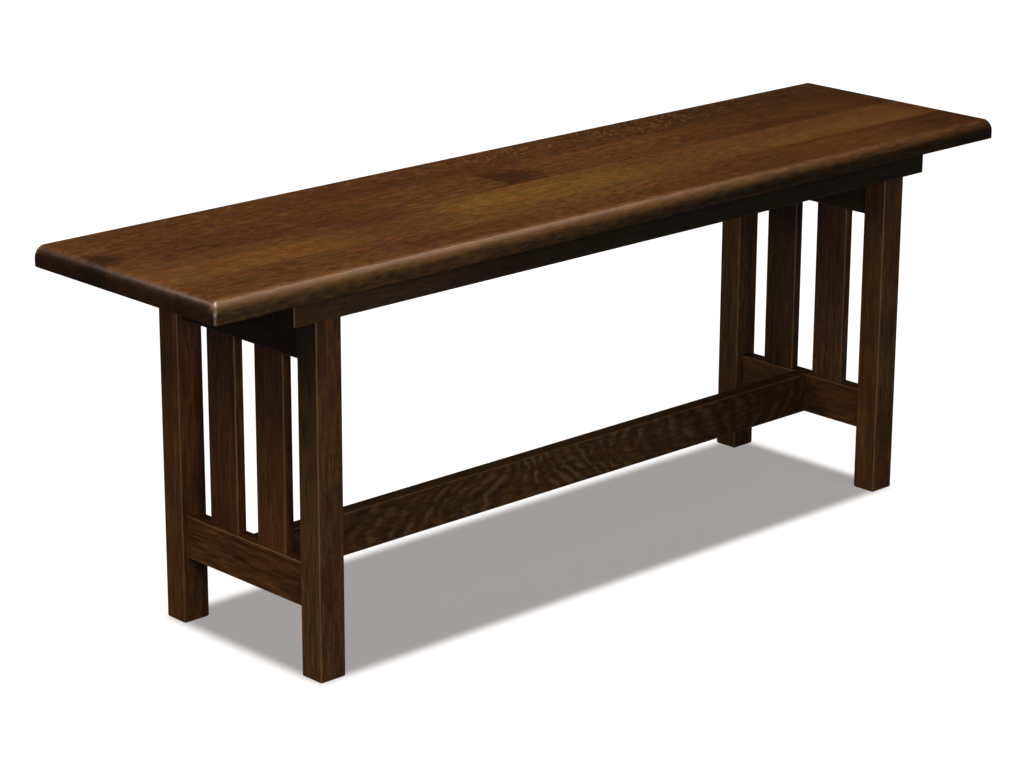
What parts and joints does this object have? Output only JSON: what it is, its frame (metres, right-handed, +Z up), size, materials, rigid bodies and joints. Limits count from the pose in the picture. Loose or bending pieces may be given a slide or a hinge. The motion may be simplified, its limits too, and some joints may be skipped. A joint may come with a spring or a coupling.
{
  "type": "mission bench",
  "caption": "Backless mission-style oak bench: boarded seat with rounded edges on slatted end frames joined by a low stretcher.",
  "frame": {"origin": "on the floor, under the middle of the seat", "axes": "+X along the bench's length, +Y across it from front to back, +Z up"},
  "size_m": [1.236, 0.31, 0.457],
  "materials": {
    "oak_seat": "satin lacquer over dark brown stain",
    "oak_frame": "satin lacquer over dark brown stain",
    "dowel_wood": "plain",
    "screw_steel": "zinc plated"
  },
  "bodies": {
    "root": {"seat_board_front": "oak_seat", "seat_board_front_middle": "oak_seat", "seat_board_back_middle": "oak_seat", "seat_board_back": "oak_seat", "front_bearer": "oak_frame", "back_bearer": "oak_frame", "front_left_leg": "oak_frame", "back_left_leg": "oak_frame", "left_upper_rail": "oak_frame", "left_lower_rail": "oak_frame", "left_front_slat": "oak_frame", "left_back_slat": "oak_frame", "front_right_leg": "oak_frame", "back_right_leg": "oak_frame", "right_upper_rail": "oak_frame", "right_lower_rail": "oak_frame", "right_front_slat": "oak_frame", "right_back_slat": "oak_frame", "stretcher": "oak_frame", "seat_dowels": "dowel_wood", "seat_screws": "screw_steel", "leg_screws": "screw_steel"}
  },
  "joints": []
}
